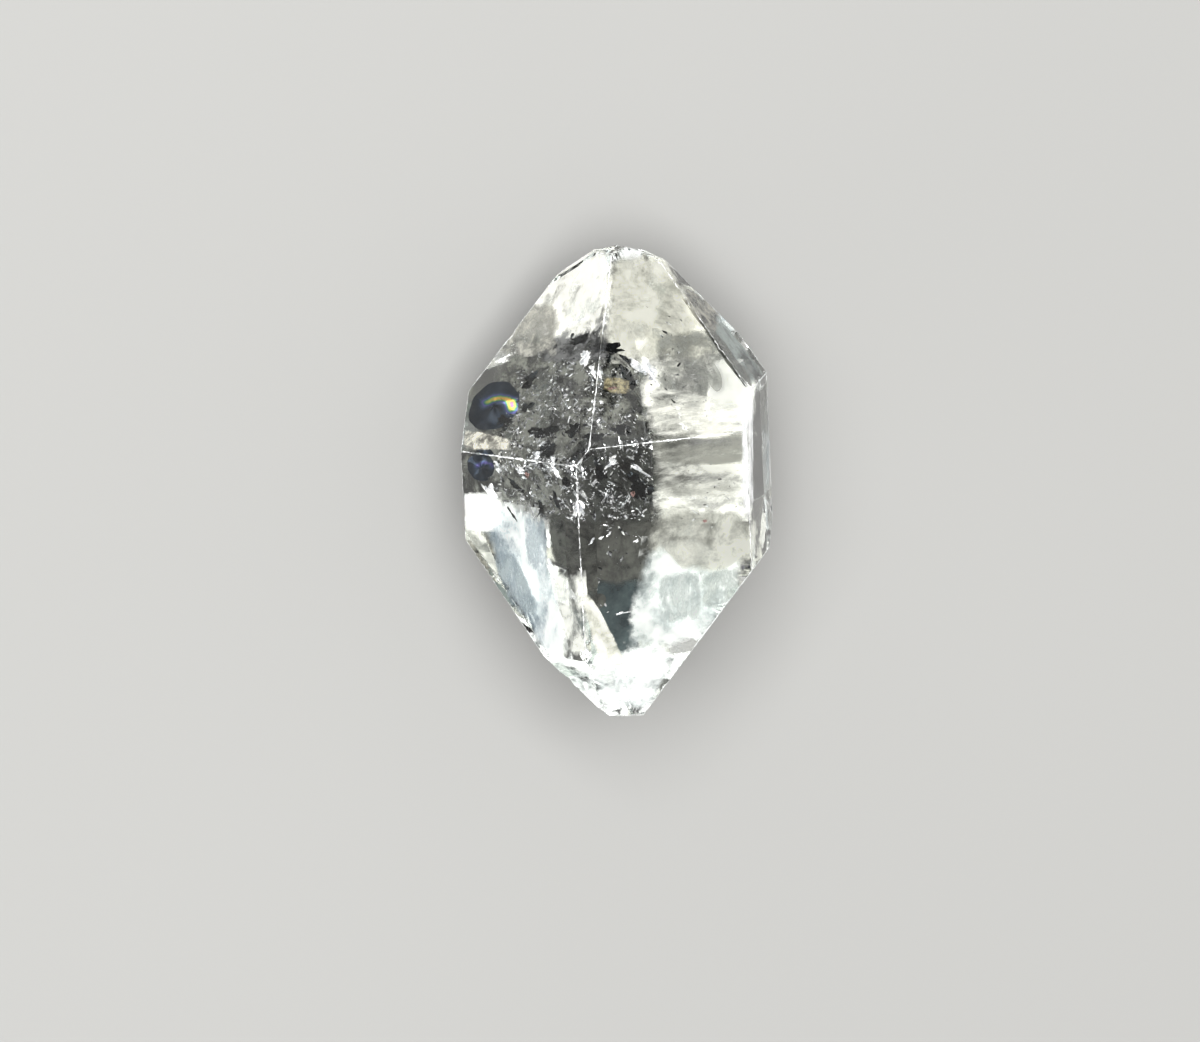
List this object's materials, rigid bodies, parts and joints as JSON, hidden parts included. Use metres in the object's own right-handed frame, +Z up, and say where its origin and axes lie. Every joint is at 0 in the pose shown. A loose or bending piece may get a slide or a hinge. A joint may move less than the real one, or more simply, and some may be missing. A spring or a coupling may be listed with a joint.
{
  "type": "herkimer diamond",
  "caption": "Clear quartz crystal pointed at both ends, with flat prism and end faces, broken tips and nicked edges, lying on one prism face.",
  "frame": {"origin": "under the middle of the crystal's bounding box, at the level of the face that it rests on", "axes": "+Y along the crystal's long (c) axis, towards the end that is uppermost in the picture; +Z up, away from the resting face; +X to the right as seen from above"},
  "size_m": [0.008, 0.0118, 0.0073],
  "materials": {
    "clear_quartz": "clear, glossy natural crystal faces with healed cracks inside"
  },
  "bodies": {
    "root": {"quartz_crystal": "clear_quartz"}
  },
  "joints": []
}
